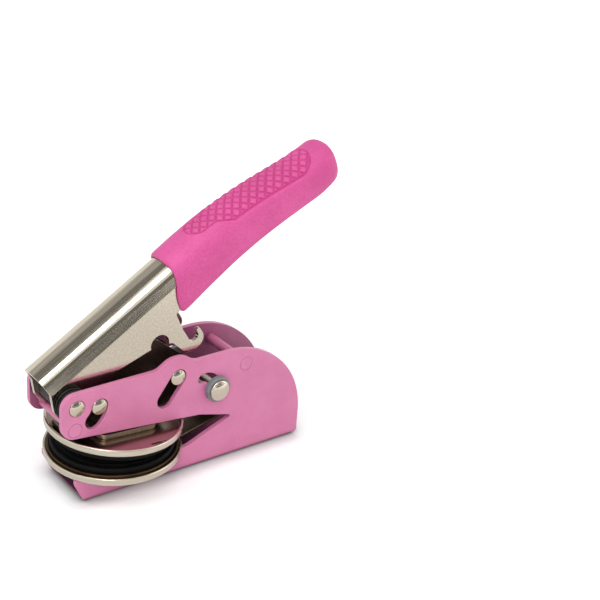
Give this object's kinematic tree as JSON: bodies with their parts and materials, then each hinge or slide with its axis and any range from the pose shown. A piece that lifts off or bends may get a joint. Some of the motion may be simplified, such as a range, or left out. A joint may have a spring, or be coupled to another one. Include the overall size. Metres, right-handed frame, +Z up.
{
  "type": "seal embosser",
  "caption": "Hand seal embosser with a folded pink frame, a hinged nickel lever with a rubber grip, and round dies that press paper in the throat.",
  "frame": {"origin": "on the underside of the base, straight under the axis of the two dies", "axes": "+X to the rear, away from the lever's pivot; +Y to the far side, square to the plane of symmetry; +Z up"},
  "size_m": [0.1129, 0.046, 0.1037],
  "materials": {
    "pink_paint": "satin",
    "pink_rubber": "matt, fine grain",
    "nickel": "satin nickel plate",
    "spring_steel": "bright",
    "black_spring": "blackened",
    "black_plastic": "matt",
    "black_die": "satin",
    "aged_brass": "browned",
    "washer_grey": "satin grey"
  },
  "bodies": {
    "root": {"frame_channel": "pink_paint", "front_spacer": "pink_paint", "rear_spacer": "pink_paint", "lever_pivot_pin": "nickel", "pivot_spacers": "black_plastic", "return_spring_near": "black_spring", "return_spring_far": "black_spring", "die_seat": "black_plastic", "lower_die_pan": "nickel", "lower_die_ring": "aged_brass", "lower_die": "black_die", "die_clip": "spring_steel"},
    "lever": {"lever": "nickel", "lever_grip": "pink_rubber", "drive_pin": "nickel", "pivot_bush": "black_plastic"},
    "press_bar": {"press_bar": "nickel", "guide_pin": "nickel", "press_button": "spring_steel"},
    "upper_die": {"upper_die_pan": "nickel", "press_plate": "nickel", "upper_die": "black_die"},
    "lock": {"lock_pin": "nickel", "lock_heads": "nickel", "lock_washers": "washer_grey"}
  },
  "joints": [
    {"name": "lever_pivot", "type": "hinge", "parent": "root", "child": "lever", "pos_m": [-0.0195, 0, 0.0355], "axis": [0, 1, 0], "range_deg": [0, 24], "stiffness_Nm_per_rad": 0.57, "springref_deg": -15.07, "deforming": ["return_spring_near", "return_spring_far"]},
    {"name": "press_link", "type": "hinge", "parent": "lever", "child": "press_bar", "pos_m": [-0.01145, 0, 0.03394], "axis": [0, 1, 0], "range_deg": [-26.5, 0]},
    {"name": "upper_die_close", "type": "hinge", "parent": "root", "child": "upper_die", "pos_m": [0.038, 0, 0.0133], "axis": [0, 1, 0], "range_deg": [-3.35, 0], "deforming": ["die_clip"]},
    {"name": "lock_swing", "type": "hinge", "parent": "root", "child": "lock", "pos_m": [0.0282, 0, 0.0289], "axis": [0, -1, 0], "range_deg": [0, 105]}
  ],
  "couplings": [
    {"joint": "press_link", "follows": "lever_pivot", "ratio": -1.097},
    {"joint": "upper_die_close", "follows": "lever_pivot", "ratio": -0.1375}
  ]
}
